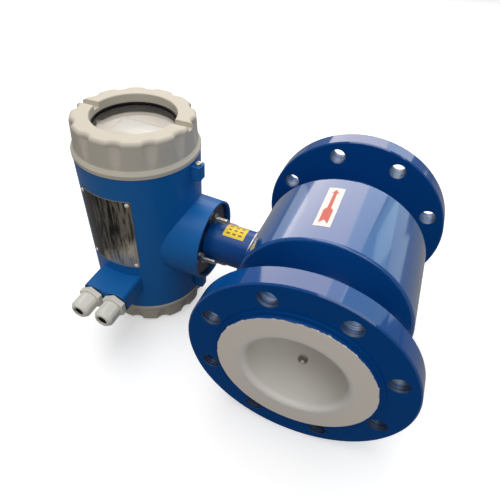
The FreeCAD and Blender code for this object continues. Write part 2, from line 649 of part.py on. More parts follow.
def converter_body():
    outer = turned([(0, BODY_BOTTOM_Z), (BODY_R, BODY_BOTTOM_Z, 0.8), (BODY_R, BODY_TOP_Z, 0.8), (0, BODY_TOP_Z)],
                   CONVERTER)
    root = Part.makeCone(BOSS_ROOT_R + (BOSS_ROOT_R - BOSS_R) * BODY_R / (BOSS_REACH - BODY_R), BOSS_R,
                         BOSS_REACH, CONVERTER, ALONG_X)
    solid = fuse(outer, root, gland_box(), lock_lug(BODY_TOP_Z, 1), lock_lug(BODY_BOTTOM_Z, -1))
    cuts = [turned(corners, CONVERTER) for corners in chamber_profile()]
    # the neck's boss: a recess for the plate, a hollow behind its floor and a way through for the leads
    cuts.append(rod(BOSS_RECESS_R, BOSS_REACH, V(BOSS_FLOOR_X, MID_Y, 0), ALONG_X))
    hollow = rod(BOSS_RECESS_R - BODY_WALL, BOSS_FLOOR_X - BOSS_FLOOR_T - AXIS_X, CONVERTER, ALONG_X)
    wall = block(AXIS_X, 0, MID_Y - BODY_R, MID_Y + BODY_R, PARTITION_UNDER_Z - 2, PARTITION_TOP_Z + 2)
    cuts.append(hollow.cut(wall))
    cuts.append(rod(BOSS_BORE_R, BOSS_REACH, CONVERTER, ALONG_X))
    depth = STUD_DEPTH + 1
    for p in stud_places():
        cuts.append(rod(STUD_R + SEAT_GAP, depth, V(BOSS_FLOOR_X - depth, MID_Y, 0) + p, ALONG_X))
    for p in gland_places():
        cuts.append(rod(GLAND_THREAD_R + SEAT_GAP, GLAND_REACH - CHAMBER_R / 2, p, ALONG_Y))
    for end, way in ((BODY_TOP_Z, 1), (BODY_BOTTOM_Z, -1)):
        top = V(LOCK_SCREW_X, MID_Y, end - way * LUG_TOP_GAP)
        cuts.append(rod(LOCK_SCREW_R + SCREW_GAP, LUG_H, top, ALONG_Z * -way))
    for degrees, z in rivet_places():
        way = outwards(degrees)
        cuts.append(rod(RIVET_R + SEAT_GAP, RIVET_DEPTH + 2, CONVERTER + way * (BODY_R - RIVET_DEPTH) + V(0, 0, z), way))
    cuts.append(rod(GROMMET_R + SEAT_GAP, PARTITION_T * 2, GROMMET_PLACE - V(0, 0, PARTITION_T), ALONG_Z))
    for p in spacer_places():
        cuts.append(rod(SPACER_HOLE_R + SEAT_GAP, 3.0, about_converter(p, PARTITION_TOP_Z - 3.0), ALONG_Z))
    return solid.cut(Part.makeCompound(cuts))


# ---------------------------------------------------------------- covers
def grip(height):
    """The hand grip: a slightly tapered drum whose lobes are left standing between round notches."""
    drum = turned([(0, 0), (GRIP_FOOT_R, 0), (GRIP_R, height, GRIP_EDGE_R), (0, height)])
    cutter = [(0, -1), (GRIP_NOTCH_R, -1), (GRIP_NOTCH_R, height, GRIP_EDGE_R),
              (GRIP_NOTCH_R + GRIP_EDGE_R + 1, height), (GRIP_NOTCH_R + GRIP_EDGE_R + 1, height + 1), (0, height + 1)]
    places = around(GRIP_COUNT, GRIP_R - GRIP_DEPTH + GRIP_NOTCH_R, 180.0 / GRIP_COUNT)
    return drum.cut(Part.makeCompound([turned(cutter, p) for p in places]))


def wrench_slots(face_z, inner, depth):
    """Two slots across the cover's face, open to the outside, towards the neck and opposite it."""
    slots = []
    for turn in (SLOT_CLOCK, SLOT_CLOCK + 180):
        slot = block(inner, GRIP_FOOT_R + 1, -SLOT_W / 2, SLOT_W / 2, face_z - depth, face_z + 1)
        slot.rotate(V(), ALONG_Z, turn)
        slots.append(slot)
    return slots


def cover_shell(height):
    """Lip, lobed grip and threaded skirt with its seal groove; local Z points out of the body."""
    foot = GRIP_FOOT_R - 1
    lip = turned([(0, 0), (LIP_R, 0, 0.5), (LIP_R, LIP_H, LIP_EDGE_R), (foot, LIP_H + LIP_SLOPE_H),
                  (0, LIP_H + LIP_SLOPE_H)])
    body = grip(height - LIP_H / 2)
    body.translate(V(0, 0, LIP_H / 2))
    groove_r = SEAL_TRACK_R - SEAL_R - RUN_GAP
    groove_h = SEAL_GROOVE + COVER_GAP
    skirt_end = -COVER_GAP - SEAL_GROOVE - THREAD_LENGTH
    skirt = turned([(0, skirt_end), (THREAD_R - 1, skirt_end), (THREAD_R, skirt_end + 1), (THREAD_R, -groove_h),
                    (groove_r, -groove_h), (groove_r, 0.5), (0, 0.5)])
    return fuse(lip, body, skirt), skirt_end


def front_cover():
    solid, skirt_end = cover_shell(FRONT_COVER_H)
    ledge = WINDOW_LEDGE_Z - FRONT_LIP_Z
    ring_end = RING_TOP_Z - RING_T - FRONT_LIP_Z
    cavity = turned([
        (0, skirt_end), (THREAD_R - SKIRT_WALL, skirt_end), (THREAD_R - SKIRT_WALL, ring_end - 1),
        (GLASS_R + 2 * SEAT_GAP, ring_end - 1), (GLASS_R + 2 * SEAT_GAP, ledge), (WINDOW_R, ledge),
        (WINDOW_R, FRONT_COVER_H - 0.8), (WINDOW_R + 0.8, FRONT_COVER_H), (0, FRONT_COVER_H)])
    solid = solid.cut(Part.makeCompound([cavity] + wrench_slots(FRONT_COVER_H, WINDOW_R - 5, SLOT_DEPTH)))
    return aimed(solid, CONVERTER + V(0, 0, FRONT_LIP_Z), ALONG_Z)


def rear_cover():
    solid, skirt_end = cover_shell(REAR_COVER_H)
    cavity = turned([
        (0, skirt_end), (THREAD_R - SKIRT_WALL, skirt_end), (THREAD_R - SKIRT_WALL, REAR_COVER_H - REAR_COVER_WALL, 4.0),
        (0, REAR_COVER_H - REAR_COVER_WALL)])
    recess = rod(REAR_RECESS_R, REAR_RECESS_H + 1, V(0, 0, REAR_COVER_H - REAR_RECESS_H))
    slots = wrench_slots(REAR_COVER_H, REAR_RECESS_R - 2, REAR_RECESS_H + 1.5)
    solid = solid.cut(Part.makeCompound([cavity, recess] + slots))
    solid.rotate(V(), ALONG_Z, REAR_COVER_CLOCK)
    return aimed(solid, CONVERTER + V(0, 0, REAR_LIP_Z), -ALONG_Z)


def cover_seal(lip_z, way):
    """A round cord ring, with its section drawn as an octagon of the cord's width."""
    middle = CONVERTER + V(0, 0, lip_z - way * (COVER_GAP + SEAL_GROOVE / 2))
    corner = SEAL_R / math.cos(math.pi / 8)
    angles = [math.radians(45 * i + 22.5) for i in range(8)]
    return turned([(SEAL_TRACK_R + corner * math.cos(a), corner * math.sin(a)) for a in angles], middle)


def window_gasket():
    return ring(WINDOW_R - WINDOW_GASKET_LAP, GLASS_R, WINDOW_GASKET_T, CONVERTER + V(0, 0, GLASS_TOP_Z))


def window_glass():
    return turned([(0, 0), (GLASS_R, 0, 0.6), (GLASS_R, GLASS_T, 0.6), (0, GLASS_T)],
                  CONVERTER + V(0, 0, RING_TOP_Z))


def window_ring():
    """The threaded ring that clamps the glass, with two key notches."""
    base = CONVERTER + V(0, 0, RING_TOP_Z - RING_T)
    clamp = ring(WINDOW_R - WINDOW_GASKET_LAP, GLASS_R, RING_T, base)
    notches = [block(AXIS_X + s * GLASS_R - RING_NOTCH_INSET, AXIS_X + s * GLASS_R + RING_NOTCH_INSET,
                     MID_Y - RING_NOTCH_W / 2, MID_Y + RING_NOTCH_W / 2,
                     RING_TOP_Z - RING_T - 1, RING_TOP_Z - RING_T + RING_NOTCH_H) for s in (-1, 1)]
    return clamp.cut(Part.makeCompound(notches))


def lock_screw(end_z, way):
    """A slotted screw in a lug, its head just clear of the cover's lip."""
    head_z = end_z - way * LUG_TOP_GAP
    profile = [(0, -LOCK_SCREW_LENGTH), (LOCK_SCREW_R, -LOCK_SCREW_LENGTH), (LOCK_SCREW_R, SCREW_GAP),
               (LOCK_HEAD_R, SCREW_GAP), (LOCK_HEAD_R, LOCK_HEAD_H, 0.5), (0, LOCK_HEAD_H)]
    screw = turned(profile)
    slot = block(-LOCK_HEAD_R, LOCK_HEAD_R, -0.5, 0.5, LOCK_HEAD_H - 1.2, LOCK_HEAD_H + 1)
    return aimed(screw.cut(slot), V(LOCK_SCREW_X, MID_Y, head_z), ALONG_Z * way)


# ---------------------------------------------------------------- nameplate
def nameplate():
    bent = ring(BODY_R + SEAT_GAP, BODY_R + SEAT_GAP + PLATE_T, PLATE_TOP_Z - PLATE_BOTTOM_Z,
                CONVERTER + V(0, 0, PLATE_BOTTOM_Z))
    middle = (PLATE_FROM_DEG + PLATE_TO_DEG) / 2
    half_width = BODY_R * math.sin(math.radians((PLATE_TO_DEG - PLATE_FROM_DEG) / 2))
    r = PLATE_CORNER_R
    sheet = Part.Face(outline([
        (-half_width, PLATE_BOTTOM_Z, r), (half_width, PLATE_BOTTOM_Z, r), (half_width, PLATE_TOP_Z, r),
        (-half_width, PLATE_TOP_Z, r)])).extrude(V(0, 0, 2 * BODY_R))
    sheet.rotate(V(), ALONG_X, 90)
    sheet.rotate(V(), ALONG_Z, middle)
    sheet.translate(CONVERTER)
    plate = bent.common(sheet)
    holes = []
    for degrees, z in rivet_places():
        holes.append(rod(RIVET_R + SEAT_GAP, 2 * BODY_R, CONVERTER + V(0, 0, z), outwards(degrees)))
    return plate.cut(Part.makeCompound(holes))


def rivet(degrees, z):
    seat = PLATE_T + 2 * SEAT_GAP
    profile = [(0, -RIVET_DEPTH), (RIVET_R, -RIVET_DEPTH), (RIVET_R, seat), (RIVET_HEAD_R, seat),
               (RIVET_HEAD_R * 0.8, seat + 0.9), (RIVET_HEAD_R * 0.4, seat + 1.3), (0, seat + 1.3)]
    way = outwards(degrees)
    return turned(profile, CONVERTER + way * BODY_R + V(0, 0, z), way)


# ---------------------------------------------------------------- cable glands
def gland_washer(p):
    return ring(GLAND_THREAD_R + SEAT_GAP, GLAND_WASHER_R, GLAND_WASHER_T, p - V(0, GLAND_WASHER_T, 0), ALONG_Y)


def gland_body(p):
    """Thread shank into the box, hexagon, and a collar that the dome nut screws on."""
    hex_base = p - V(0, GLAND_WASHER_T, 0)
    solid = fuse(
        hexagon(GLAND_HEX_AF, GLAND_HEX_H, hex_base, -ALONG_Y),
        rod(GLAND_THREAD_R, GLAND_THREAD_LENGTH + GLAND_WASHER_T + 1, hex_base - V(0, 1, 0), ALONG_Y),
        rod(GLAND_COLLAR_R, GLAND_HEX_H + GLAND_COLLAR_LENGTH, hex_base, -ALONG_Y))
    bore = rod(GLAND_SEAL_R + RUN_GAP, 4 * GLAND_COLLAR_LENGTH, p + V(0, GLAND_THREAD_LENGTH, 0), -ALONG_Y)
    return solid.cut(bore)


def gland_nut(p):
    """A dome nut: six flats that run out into a rounded nose with the cable's hole."""
    start = GLAND_WASHER_T + GLAND_HEX_H + RUN_GAP
    nose = start + GLAND_NUT_LENGTH
    inner_r = GLAND_COLLAR_R + RUN_GAP
    shoulder = start + GLAND_COLLAR_LENGTH
    front = nose - GLAND_NUT_NOSE_T
    dome = turned([
        (0, start), (GLAND_NUT_R - 0.8, start), (GLAND_NUT_R, start + 1.2),
        (GLAND_NUT_R, nose - GLAND_NUT_ROUND_H, 3), (GLAND_NUT_NOSE_R, nose, 1.2), (0, nose)], p, -ALONG_Y)
    flats = hexagon(GLAND_NUT_AF, GLAND_NUT_LENGTH, p - V(0, start, 0), -ALONG_Y)
    hollow = turned([
        (0, start), (inner_r, start), (inner_r, shoulder + 1), (GLAND_SEAL_R + RUN_GAP, shoulder + 3),
        (GLAND_SEAL_R + RUN_GAP, front), (GLAND_NUT_HOLE_R, front), (GLAND_NUT_HOLE_R, nose), (0, nose)],
        p, -ALONG_Y)
    return dome.common(flats).cut(hollow)


def gland_seal(p):
    return ring(GLAND_SEAL_BORE_R, GLAND_SEAL_R, GLAND_SEAL_LENGTH, p - V(0, GLAND_SEAL_FRONT, 0), ALONG_Y)


# ---------------------------------------------------------------- display and boards
def display_panel():
    """The pale face under the glass, with an opening for the screen."""
    panel = rod(PANEL_R, PANEL_T, CONVERTER + V(0, 0, DISPLAY_TOP_Z))
    opening = block(AXIS_X - LCD_W / 2, AXIS_X + LCD_W / 2, MID_Y + LCD_Y - LCD_H / 2, MID_Y + LCD_Y + LCD_H / 2,
                    DISPLAY_TOP_Z - 1, PANEL_TOP_Z + 1)
    return panel.cut(opening)


def lcd_module():
    gap = 2 * SEAT_GAP
    glass = block(AXIS_X - LCD_W / 2 + gap, AXIS_X + LCD_W / 2 - gap, MID_Y + LCD_Y - LCD_H / 2 + gap,
                  MID_Y + LCD_Y + LCD_H / 2 - gap, DISPLAY_TOP_Z, PANEL_TOP_Z - 0.4)
    back = block(AXIS_X - LCD_W / 2 - 4, AXIS_X + LCD_W / 2 + 4, MID_Y + LCD_Y - LCD_H / 2 - 4,
                 MID_Y + LCD_Y + LCD_H / 2 + 4, DISPLAY_TOP_Z - LCD_T, DISPLAY_TOP_Z)
    return fuse(glass, back)


def display_housing():
    """The round black tray that carries the panel, the screen and their board."""
    base = CONVERTER + V(0, 0, DISPLAY_BOTTOM_Z)
    tray = rod(PANEL_R, DISPLAY_DEPTH, base).cut(
        rod(PANEL_R - DISPLAY_WALL, DISPLAY_DEPTH, base + V(0, 0, DISPLAY_WALL)))
    holes = [rod(SPACER_HOLE_R + SEAT_GAP, DISPLAY_WALL, about_converter(p, DISPLAY_BOTTOM_Z)) for p in tray_places()]
    return tray.cut(Part.makeCompound(holes))


def tray_places():
    return around(3, TRAY_CIRCLE_R, 90)


def display_board():
    base = CONVERTER + V(0, 0, DISPLAY_TOP_Z - LCD_T - BOARD_T)
    return rod(PANEL_R - DISPLAY_WALL - 4 * SEAT_GAP, BOARD_T, base)


def display_posts():
    """Three posts inside the tray that the display's board lies on."""
    low = DISPLAY_BOTTOM_Z + DISPLAY_WALL
    high = DISPLAY_TOP_Z - LCD_T - BOARD_T
    return [ring(SPACER_HOLE_R, SPACER_R, high - low, about_converter(p, low)) for p in tray_places()]


def board(z):
    disc = rod(BOARD_R, BOARD_T, CONVERTER + V(0, 0, z))
    holes = [rod(SPACER_HOLE_R + SEAT_GAP, BOARD_T, about_converter(p, z)) for p in spacer_places()]
    flat = block(AXIS_X + BOARD_R - BOARD_FLAT, AXIS_X + BOARD_R, MID_Y - BOARD_R, MID_Y + BOARD_R, z - 1, z + BOARD_T + 1)
    return disc.cut(Part.makeCompound(holes + [flat]))


def board_spacers():
    levels = [(PARTITION_TOP_Z, MAIN_BOARD_Z), (MAIN_BOARD_Z + BOARD_T, POWER_BOARD_Z)]
    return [ring(SPACER_HOLE_R + SEAT_GAP, SPACER_R, high - low, about_converter(p, low))
            for low, high in levels for p in spacer_places()]


def tray_brackets():
    """Three stepped feet from the upper board to the display's tray."""
    feet = []
    low = POWER_BOARD_Z + BOARD_T
    for p, q in zip(spacer_places(), tray_places()):
        foot = rod(SPACER_R, DISPLAY_BOTTOM_Z - low, about_converter(q, low))
        foot = foot.fuse(rod(SPACER_R, BRACKET_T, about_converter(p, low)))
        way = (p - q).normalize()
        bar = block(0, (p - q).Length, -SPACER_R, SPACER_R, 0, BRACKET_T)
        bar.rotate(V(), ALONG_Z, math.degrees(math.atan2(way.y, way.x)))
        bar.translate(about_converter(q, low))
        foot = foot.fuse(bar).removeSplitter()
        feet.append(foot.cut(rod(SPACER_HOLE_R + SEAT_GAP, BRACKET_T, about_converter(p, low))))
    return feet


def stack_screws():
    """Long screws through the brackets, boards and spacers into the partition."""
    top = POWER_BOARD_Z + BOARD_T + BRACKET_T
    low = PARTITION_TOP_Z - 2.5
    profile = [(0, 0), (SPACER_HOLE_R, 0), (SPACER_HOLE_R, top - low), (2.8, top - low), (2.8, top - low + 2.2, 0.6),
               (0, top - low + 2.2)]
    return [turned(profile, about_converter(p, low)) for p in spacer_places()]


def board_parts():
    """The main board's larger components: a chip, a connector and two capacitors."""
    top = MAIN_BOARD_Z + BOARD_T
    chip = block(AXIS_X - CHIP_W / 2, AXIS_X + CHIP_W / 2, MID_Y - CHIP_W / 2, MID_Y + CHIP_W / 2, top, top + CHIP_H)
    plug_y = MID_Y - BOARD_R + PLUG_INSET
    plug = block(AXIS_X - PLUG_W / 2, AXIS_X + PLUG_W / 2, plug_y, plug_y + PLUG_DEPTH, top, top + PLUG_H)
    caps = [rod(CAP_R, CAP_H, CONVERTER + V(BOARD_R - CAP_INSET, s * CAP_PITCH / 2, top)) for s in (-1, 1)]
    return [chip, plug] + caps


def power_module():
    top = POWER_BOARD_Z + BOARD_T
    case = block(AXIS_X - MODULE_W / 2, AXIS_X + MODULE_W / 2, MID_Y - MODULE_DEPTH / 2, MID_Y + MODULE_DEPTH / 2,
                 top, top + MODULE_H)
    return case.makeFillet(2.0, [e for e in case.Edges if e.CenterOfMass.z > top + MODULE_H / 2 - 0.1])


def terminal_board():
    disc = rod(BOARD_R, BOARD_T, CONVERTER + V(0, 0, TERMINAL_BOARD_Z))
    hole = rod(GROMMET_R + 1, BOARD_T, V(GROMMET_PLACE.x, MID_Y, TERMINAL_BOARD_Z))
    return disc.cut(hole)


def terminal_rows():
    return [MID_Y + TERMINAL_ROW_SHIFT + s * TERMINAL_ROW_PITCH / 2 for s in (-1, 1)]


def terminal_ways():
    """(row's y, terminal's x) of each clamp, in two rows."""
    first = -TERMINAL_PITCH * (TERMINAL_COUNT - 1) / 2
    return [(y, AXIS_X + first + i * TERMINAL_PITCH) for y in terminal_rows() for i in range(TERMINAL_COUNT)]


def terminal_blocks():
    half = TERMINAL_PITCH * TERMINAL_COUNT / 2
    blocks = []
    for y in terminal_rows():
        body = block(AXIS_X - half, AXIS_X + half, y - TERMINAL_DEPTH / 2, y + TERMINAL_DEPTH / 2,
                     TERMINAL_BOARD_Z - TERMINAL_H, TERMINAL_BOARD_Z)
        cuts = []
        for row_y, x in terminal_ways():
            if row_y == y:
                cuts.append(block(x - 2, x + 2, y - TERMINAL_DEPTH / 2, y - 1,
                                  TERMINAL_BOARD_Z - 7, TERMINAL_BOARD_Z - 2.5))
                cuts.append(rod(2.3, 3.5, V(x, y, TERMINAL_BOARD_Z - TERMINAL_H)))
        blocks.append(body.cut(Part.makeCompound(cuts)))
    return blocks


def terminal_screws():
    low = TERMINAL_BOARD_Z - TERMINAL_H + 1.5
    return [rod(2.1, 2.0, V(x, y, low)) for y, x in terminal_ways()]


def terminal_legs():
    """Four short posts that hold the terminal board off the partition."""
    return [rod(SPACER_R, TERMINAL_GAP, about_converter(p, TERMINAL_BOARD_Z + BOARD_T))
            for p in around(4, BOARD_R - TERMINAL_LEG_INSET, 45)]


def grommet():
    half = PARTITION_T / 2
    profile = [(GROMMET_BORE_R, -half), (GROMMET_R, -half), (GROMMET_R, half), (GROMMET_R + GROMMET_LIP, half),
               (GROMMET_R + GROMMET_LIP, half + GROMMET_LIP), (GROMMET_BORE_R, half + GROMMET_LIP)]
    return turned(profile, GROMMET_PLACE)


# ---------------------------------------------------------------- the meter
def build():
    os.makedirs("parts", exist_ok=True)
    seats = electrode_seats()
    save("inlet_flange", flange(0, 1))
    save("outlet_flange", flange(FACE_TO_FACE, -1))
    save("measuring_tube", measuring_tube())
    save("tube_liner", tube_liner())
    save("measuring_electrodes", *[electrode(*seat) for seat in seats[:2]])
    save("grounding_electrode", electrode(*seats[2]))
    save("electrode_insulators", *[electrode_insulator(*seat) for seat in seats])
    save("electrode_nuts", *[electrode_nut(*seat) for seat in seats])
    save("inlet_end_plate", end_plate(HOUSING_START_Y, 1))
    save("outlet_end_plate", end_plate(HOUSING_START_Y + HOUSING_LENGTH, -1))
    save("housing_shell", housing_shell())
    for name, side in (("neck_side", -1), ("far_side", 1)):
        save(name + "_coil", coil(side))
        save(name + "_pole", pole(side))
    save("flux_return_ring", return_ring())

    save("neck_tube", neck_tube())
    save("neck_plate", neck_plate())
    save("neck_gasket", neck_gasket())
    save("neck_collar", neck_collar())
    save("neck_studs", *[neck_stud(p) for p in stud_places()])
    save("neck_washers", *[neck_washer(p) for p in stud_places()])
    save("neck_nuts", *[neck_nut(p) for p in stud_places()])

    save("converter_body", converter_body())
    save("front_cover", front_cover())
    save("rear_cover", rear_cover())
    save("front_cover_seal", cover_seal(FRONT_LIP_Z, 1))
    save("rear_cover_seal", cover_seal(REAR_LIP_Z, -1))
    save("window_gasket", window_gasket())
    save("window_glass", window_glass())
    save("window_ring", window_ring())
    save("front_lock_screw", lock_screw(BODY_TOP_Z, 1))
    save("rear_lock_screw", lock_screw(BODY_BOTTOM_Z, -1))
    save("nameplate", nameplate())
    save("nameplate_rivets", *[rivet(*place) for place in rivet_places()])

    save("gland_washers", *[gland_washer(p) for p in gland_places()])
    save("gland_bodies", *[gland_body(p) for p in gland_places()])
    for side, p in zip(("left", "right"), gland_places()):
        save("gland_nut_" + side, gland_nut(p))
        save("gland_seal_" + side, gland_seal(p))

    save("display_panel", display_panel())
    save("lcd_module", lcd_module())
    save("display_housing", display_housing())
    save("display_board", display_board())
    save("display_posts", *display_posts())
    save("tray_brackets", *tray_brackets())
    save("main_board", board(MAIN_BOARD_Z))
    save("power_board", board(POWER_BOARD_Z))
    save("board_spacers", *board_spacers())
    save("stack_screws", *stack_screws())
    save("main_board_parts", *board_parts())
    save("power_module", power_module())
    save("terminal_board", terminal_board())
    save("terminal_legs", *terminal_legs())
    save("terminal_blocks", *terminal_blocks())
    save("terminal_screws", *terminal_screws())
    save("lead_grommet", grommet())


build()
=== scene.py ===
import math

import bmesh
import bpy
from mathutils import Matrix, Vector


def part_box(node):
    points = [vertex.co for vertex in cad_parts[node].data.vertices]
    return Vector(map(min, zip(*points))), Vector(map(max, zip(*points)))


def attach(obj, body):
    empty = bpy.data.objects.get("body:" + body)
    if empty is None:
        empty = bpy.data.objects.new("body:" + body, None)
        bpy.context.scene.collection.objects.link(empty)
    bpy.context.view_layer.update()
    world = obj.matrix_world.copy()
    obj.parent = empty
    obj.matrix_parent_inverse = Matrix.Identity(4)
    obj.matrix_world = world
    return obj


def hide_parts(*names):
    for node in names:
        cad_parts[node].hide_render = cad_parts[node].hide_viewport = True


# Looks for a flanged electromagnetic flow meter. Everything is in metres, in the meter's own frame:
# +Y along the flow, -X from the tube along the neck to the converter, +Z the way the window faces.

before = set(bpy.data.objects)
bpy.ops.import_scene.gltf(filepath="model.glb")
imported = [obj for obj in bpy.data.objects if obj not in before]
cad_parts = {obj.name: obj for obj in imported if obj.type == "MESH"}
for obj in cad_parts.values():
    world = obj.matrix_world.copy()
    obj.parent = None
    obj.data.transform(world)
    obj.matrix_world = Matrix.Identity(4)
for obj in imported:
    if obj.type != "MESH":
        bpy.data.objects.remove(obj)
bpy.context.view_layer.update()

MM = 0.001

flange_low, flange_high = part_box("inlet_flange")
housing_low, housing_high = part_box("housing_shell")
lip_low, lip_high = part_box("front_cover")
rear_low, rear_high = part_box("rear_cover")
neck_low, neck_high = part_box("neck_tube")
stud_low, stud_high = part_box("neck_studs")
plate_low, plate_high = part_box("nameplate")

# Flanges, housing and neck
FLANGE_R = (flange_high.x - flange_low.x) / 2
HOUSING_R = (housing_high.x - housing_low.x) / 2
NECK_R = (neck_high.z - neck_low.z) / 2
MID_Y = (housing_low.y + housing_high.y) / 2
BORE_R = 50 * MM
LINER_RIM_R = 75.6 * MM
BOLT_R = 90 * MM
HOLE_R = 9 * MM
HOLES = 8
STUD_R = 3 * MM
STUD_CIRCLE_R = 33 * MM
STUDS = 4

# Converter
AXIS_X = (lip_low.x + lip_high.x) / 2
PLATE_R = 66.5 * MM
PLATE_LEFT, PLATE_RIGHT = -31.5, 23.5      # degrees round the converter from the side with the cable glands
SKIRT = 13.9 * MM                          # how far a cover's thread skirt reaches into the body
COVER_THREAD = 2 * MM
FRONT_COVER_H, REAR_COVER_H = 36.6, 31.0   # lip to outer face; these and the grip's sizes are in millimetres
FRONT_LIP_Z = lip_high.z - FRONT_COVER_H * MM
REAR_LIP_Z = rear_low.z + REAR_COVER_H * MM
FRONT_NOTCH, REAR_NOTCH = 15, 10           # degrees from +X to the middle of a cover's first notch
NOTCHES = 12
NOTCH_R = 10.2                             # radius of a notch's round floor
NOTCH_FLOOR_R = 59.2                       # from the cover's axis to the floor of a notch, at its deepest
NOTCH_RISE = 4.85                          # how far the floor comes out where the notch ends
NOTCH_SOFT = 0.9                           # width of the rounding between notch and lobe
LOBE_FOOT_R = 64.33                        # just proud of the lobes
LOBE_TAPER = 1.8                           # how far the lobes lean in, from foot to face
LIP_EDGE = 2.1                             # height over the lip at which the lobes' taper starts
SKIN_START, SKIN_START_R = 8.3, 64.12      # the skin's lower edge, which lies on the lip's slope
SKIN_INNER_R = 58.6
SKIN_STOP = 5                              # how far under the cover's face the skin ends
SKIN_ROWS, SKIN_COLUMNS = 14, 360
SKIN_TUCK = 0.1                            # how far its upper edge is turned in under the enamel
GRIP_FOOT = 9.4                            # height over the lip of the ledge at the lobes' foot

LABEL_LIFT, PRINT_LIFT = 0.05 * MM, 0.16 * MM     # over the enamel, for a label and for what is printed on it
ALONG_X, ALONG_Y, ALONG_Z = Vector((1, 0, 0)), Vector((0, 1, 0)), Vector((0, 0, 1))


def colour(red, green, blue):
    """A colour as it looks on screen, 0 to 255, turned into the linear values that shaders use."""
    def linear(c):
        c /= 255
        return c / 12.92 if c <= 0.04045 else ((c + 0.055) / 1.055) ** 2.4
    return (linear(red), linear(green), linear(blue), 1)


# ---------------------------------------------------------------- shader expressions
class Value:
    """One output socket, so that a mask can be written as an expression."""

    def __init__(self, nodes, socket):
        self.nodes = nodes
        self.socket = socket

    def maths(self, operation, *others, clamp=False):
        inputs = dict(enumerate((self,) + others))
        return self.nodes.node("ShaderNodeMath", {"operation": operation, "use_clamp": clamp}, inputs)

    def turned_round(self, operation, first):
        """The same with this value as the second one."""
        return self.nodes.node("ShaderNodeMath", {"operation": operation}, {0: first, 1: self})

    def __add__(self, other): return self.maths("ADD", other)
    def __radd__(self, other): return self.maths("ADD", other)
    def __sub__(self, other): return self.maths("SUBTRACT", other)
    def __rsub__(self, other): return self.turned_round("SUBTRACT", other)
    def __mul__(self, other): return self.maths("MULTIPLY", other)
    def __rmul__(self, other): return self.maths("MULTIPLY", other)
    def __truediv__(self, other): return self.maths("DIVIDE", other)
    def __rtruediv__(self, other): return self.turned_round("DIVIDE", other)
    def __abs__(self): return self.maths("ABSOLUTE")

    def above(self, edge, blend=0.0002):
        """1 where this is over the edge, 0 under it, and a short ramp between."""
        return ((self - edge) / blend).maths("ADD", 0.5, clamp=True)

    def below(self, edge, blend=0.0002):
        return 1 - self.above(edge, blend)

    def within(self, low, high, blend=0.0002):
        return self.above(low, blend) * self.below(high, blend)

    def repeat(self, step):
        """The distance to the nearest whole multiple of step."""
        return self.maths("PINGPONG", step / 2)


class Nodes:
    """A node tree. One method adds any node."""

    def __init__(self, tree):
        self.tree = tree

    def feed(self, socket, value):
        if isinstance(value, Value):
            self.tree.links.new(value.socket, socket)
        else:
            socket.default_value = value

    def node(self, kind, settings, inputs, output=0):
        made = self.tree.nodes.new(kind)
        for key, value in settings.items():
            setattr(made, key, value)
        for key, value in inputs.items():
            self.feed(made.inputs[key], value)
        return Value(self, made.outputs[output])

    def rays(self, *kinds):
        """1 for a ray of that kind and 0 for any other, for each kind in turn."""
        return [self.node("ShaderNodeLightPath", {}, {}, f"Is {kind} Ray") for kind in kinds]


class Finish(Nodes):
    """A material with one shader."""

    def __init__(self, name, base, roughness, metallic=0.0, **sockets):
        self.material = bpy.data.materials.new(name)
        self.material.use_nodes = True
        super().__init__(self.material.node_tree)
        self.tree.nodes.clear()
        self.shader = self.tree.nodes.new("ShaderNodeBsdfPrincipled")
        self.output = self.tree.nodes.new("ShaderNodeOutputMaterial")
        self.tree.links.new(self.shader.outputs[0], self.output.inputs["Surface"])
        self.set("Base Color", base)
        self.set("Roughness", roughness)
        self.set("Metallic", metallic)
        for key, value in sockets.items():
            self.set(key.replace("_", " "), value)

    def set(self, socket, value):
        self.feed(self.shader.inputs[socket], value)

    def where(self):
        """Object coordinates."""
        return self.node("ShaderNodeTexCoord", {}, {}, "Object")

    def place(self):
        """Object coordinates as one vector, and then as x, y and z."""
        where = self.where()
        split = [self.node("ShaderNodeSeparateXYZ", {}, {0: where}, i) for i in range(3)]
        return where, split[0], split[1], split[2]

    def stretched(self, where, *scale):
        return self.node("ShaderNodeMapping", {}, {"Vector": where, "Scale": scale})

    def noise(self, where, scale, detail=3.0, roughness=0.5):
        return self.node("ShaderNodeTexNoise", {}, {"Vector": where, "Scale": scale, "Detail": detail,
                                                    "Roughness": roughness})

    def mix(self, factor, first, second):
        return self.node("ShaderNodeMix", {"data_type": "RGBA"}, {0: factor, 6: first, 7: second}, 2)

    def bump(self, height, distance, strength):
        """A height of 1 stands out by the given distance."""
        self.set("Normal", self.node("ShaderNodeBump", {}, {"Height": height, "Distance": distance,
                                                            "Strength": strength}))


def cylinder_coordinates(x, y):
    """Radius and angle about the third axis."""
    radius = (x * x + y * y).maths("SQRT")
    return radius, y.maths("ARCTAN2", x)


# ---------------------------------------------------------------- finishes
BLUE = colour(8, 77, 150)
# the flanges' blue painted lighter for the light on the coil housing
LIT_HOUSING_BLUE = colour(8, 86, 160)
DRILLED_STEEL = colour(128, 140, 154)


